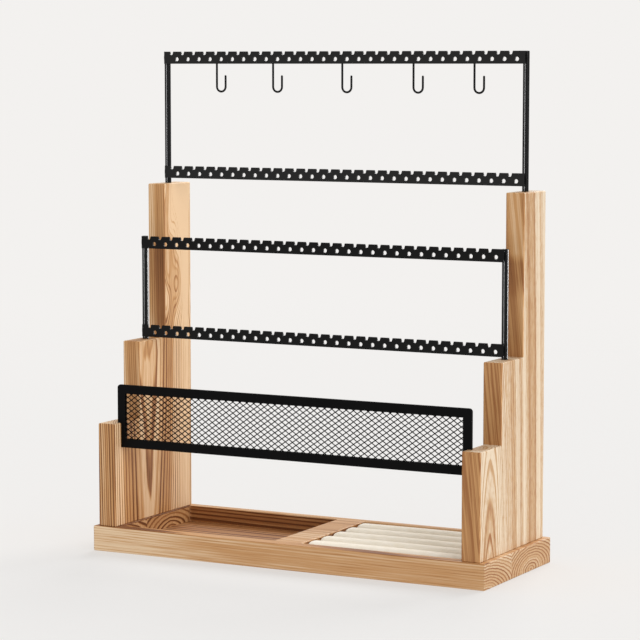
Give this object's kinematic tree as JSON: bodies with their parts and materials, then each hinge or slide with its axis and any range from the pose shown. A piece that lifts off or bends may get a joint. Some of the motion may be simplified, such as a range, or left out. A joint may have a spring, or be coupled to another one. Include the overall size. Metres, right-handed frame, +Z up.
{
  "type": "jewelry stand",
  "caption": "Stepped wooden jewelry stand with lift-out black earring frames, necklace hooks, a mesh screen, an open tray and a velvet ring pad.",
  "frame": {"origin": "centre of the base board's underside, on the surface that it stands on", "axes": "+X to the viewer's right, +Y to the back, +Z up"},
  "size_m": [0.34, 0.124, 0.3944],
  "materials": {
    "pine": "satin oiled pine with brown grain lines",
    "zinc_screw": "zinc-plated steel",
    "black_coat": "satin black powder coat on steel",
    "grey_card": "matt board",
    "cream_velvet": "short-pile cream velvet over foam"
  },
  "bodies": {
    "stand": {"base_board": "pine", "left_side_panel": "pine", "right_side_panel": "pine", "panel_screws": "zinc_screw"},
    "top_frame": {"top_frame_left_rod": "black_coat", "top_frame_right_rod": "black_coat", "top_frame_upper_strip": "black_coat", "top_frame_lower_strip": "black_coat", "necklace_hook_1": "black_coat", "necklace_hook_2": "black_coat", "necklace_hook_3": "black_coat", "necklace_hook_4": "black_coat", "necklace_hook_5": "black_coat"},
    "middle_frame": {"middle_frame_left_rod": "black_coat", "middle_frame_right_rod": "black_coat", "middle_frame_upper_strip": "black_coat", "middle_frame_lower_strip": "black_coat"},
    "mesh_screen": {"screen_border": "black_coat", "screen_mesh": "black_coat"},
    "ring_pad": {"ring_pad_base": "grey_card", "ring_roll_1": "cream_velvet", "ring_roll_2": "cream_velvet", "ring_roll_3": "cream_velvet", "ring_roll_4": "cream_velvet", "ring_roll_5": "cream_velvet"}
  },
  "joints": [
    {"name": "top_frame_lift", "type": "slide", "parent": "stand", "child": "top_frame", "axis": [0, 0, 1], "range_m": [0, 0.025]},
    {"name": "middle_frame_lift", "type": "slide", "parent": "stand", "child": "middle_frame", "axis": [0, 0, 1], "range_m": [0, 0.025]},
    {"name": "screen_lift", "type": "slide", "parent": "stand", "child": "mesh_screen", "axis": [0, 0, 1], "range_m": [0, 0.025]},
    {"name": "ring_pad_lift", "type": "slide", "parent": "stand", "child": "ring_pad", "axis": [0, 0, 1], "range_m": [0, 0.025]}
  ]
}
